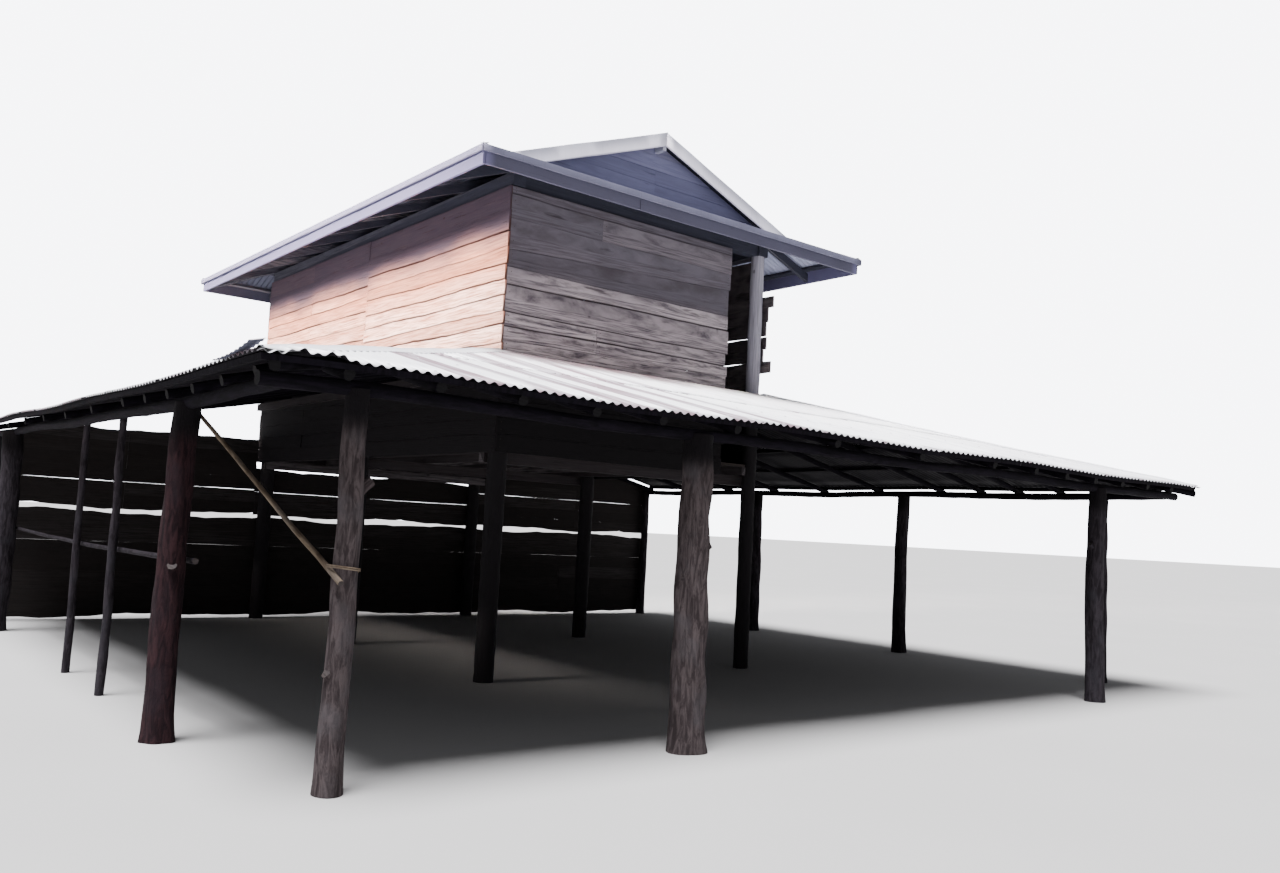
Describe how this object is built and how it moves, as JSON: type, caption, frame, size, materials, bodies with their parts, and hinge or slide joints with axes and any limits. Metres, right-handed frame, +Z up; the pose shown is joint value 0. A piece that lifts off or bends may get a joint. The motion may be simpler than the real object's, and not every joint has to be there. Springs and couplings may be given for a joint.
{
  "type": "stilt house",
  "caption": "Plank-walled rice granary raised on posts under a gabled roof with hipped skirts, with an open pole and corrugated-sheet lean-to round its front and both sides.",
  "frame": {"origin": "on the ground under the middle of the whole building's outline, lean-to eaves included", "axes": "+Z up; +X along the front to the right as one faces it; the front with the open bay beside the corner post faces -Y"},
  "size_m": [11.35, 11.1, 6.0862],
  "materials": {
    "log_posts": "rough bark and weathered sapwood",
    "hewn_timber": "rough, dusty",
    "poles": "rough, dark with smoke and dust",
    "sawn_battens": "sawn, unfinished",
    "zinc_sheet": "galvanised, chalky white with brown rust streaks",
    "zinc_flashing": "galvanised, dull, rust at the edges",
    "floor_board": "worn, unfinished",
    "sunlit_boards": "weathered, warm tan with grey stains",
    "weathered_boards": "weathered grey brown",
    "upper_sheet": "fibre cement, weathered grey with lichen",
    "fascia_board": "dull grey paint, stained",
    "dark_boards": "dark, weathered",
    "upper_flashing": "pale grey, weathered",
    "bamboo": "dry, satin"
  },
  "bodies": {
    "root": {"post_front_left": "log_posts", "post_front_middle": "log_posts", "post_front_right": "log_posts", "post_left_front": "log_posts", "posts_left_back": "log_posts", "posts_right": "log_posts", "granary_posts": "hewn_timber", "eave_beam_front": "poles", "side_eave_beams": "poles", "rafter_ledgers": "sawn_battens", "hip_rafters": "poles", "front_rafters": "poles", "left_rafters": "poles", "right_rafters": "poles", "lean_purlins": "sawn_battens", "front_lean_roof": "zinc_sheet", "left_lean_roof": "zinc_sheet", "right_lean_roof": "zinc_sheet", "lean_hip_flashings": "zinc_flashing", "floor_beams": "hewn_timber", "floor_joists": "hewn_timber", "floor_boards": "floor_board", "left_wall": "sunlit_boards", "right_wall": "sunlit_boards", "front_wall": "weathered_boards", "back_wall": "weathered_boards", "door_stud": "hewn_timber", "wall_plates": "hewn_timber", "tie_beams": "hewn_timber", "king_posts": "hewn_timber", "ridge_beam": "hewn_timber", "upper_rafters": "sawn_battens", "skirt_rafters": "sawn_battens", "upper_purlins": "sawn_battens", "upper_roof_left": "upper_sheet", "upper_roof_right": "upper_sheet", "skirt_roofs": "upper_sheet", "fascias": "fascia_board", "gable_walls": "dark_boards", "verge_flashings": "upper_flashing", "ridge_flashing": "upper_flashing", "upper_hip_flashings": "upper_flashing", "back_screen": "dark_boards", "left_fence": "poles", "brace_pole": "bamboo"}
  },
  "joints": []
}
